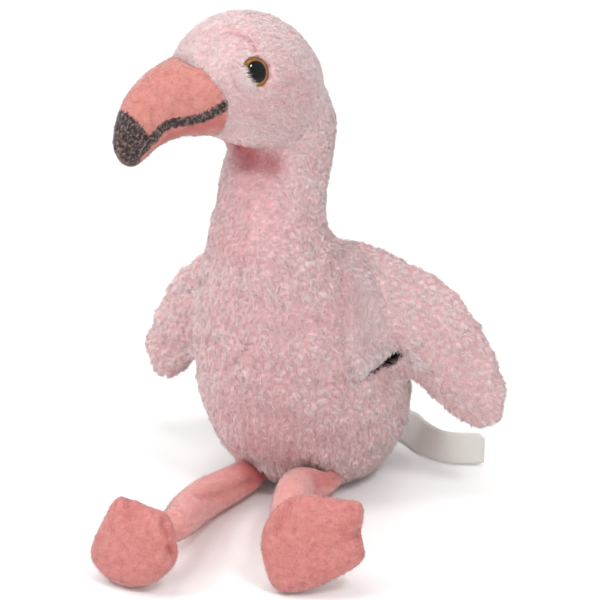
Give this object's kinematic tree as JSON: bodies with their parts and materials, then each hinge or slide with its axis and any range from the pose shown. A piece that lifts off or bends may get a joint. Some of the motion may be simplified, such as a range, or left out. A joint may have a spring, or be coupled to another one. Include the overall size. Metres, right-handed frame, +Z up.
{
  "type": "plush toy flamingo",
  "caption": "Seated stuffed plush flamingo with a turned head, hooked beak, spread wings, long velour legs with webbed feet and a ribbon care tag.",
  "frame": {"origin": "centre of the flat patch of the seat, on the ground", "axes": "+Z up, the toy's chest faces -Y, its left side is +X"},
  "size_m": [0.1417, 0.1615, 0.1695],
  "materials": {
    "plush": "pale pink short-pile plush with whitish tips",
    "beak_velour": "coral velour with sprayed charcoal tip and mouth line",
    "leg_velour": "salmon short-pile velour",
    "eye_plastic": "clear domed plastic over an amber ring and a black pupil",
    "ribbon": "off-white satin ribbon, bare"
  },
  "bodies": {
    "root": {"body": "plush", "neck": "plush", "head": "plush", "tail": "plush", "wing_left": "plush", "wing_right": "plush", "beak": "beak_velour", "eye_left": "eye_plastic", "eye_right": "eye_plastic", "leg_left": "leg_velour", "leg_right": "leg_velour", "foot_left": "leg_velour", "foot_right": "leg_velour", "tag": "ribbon"}
  },
  "joints": []
}
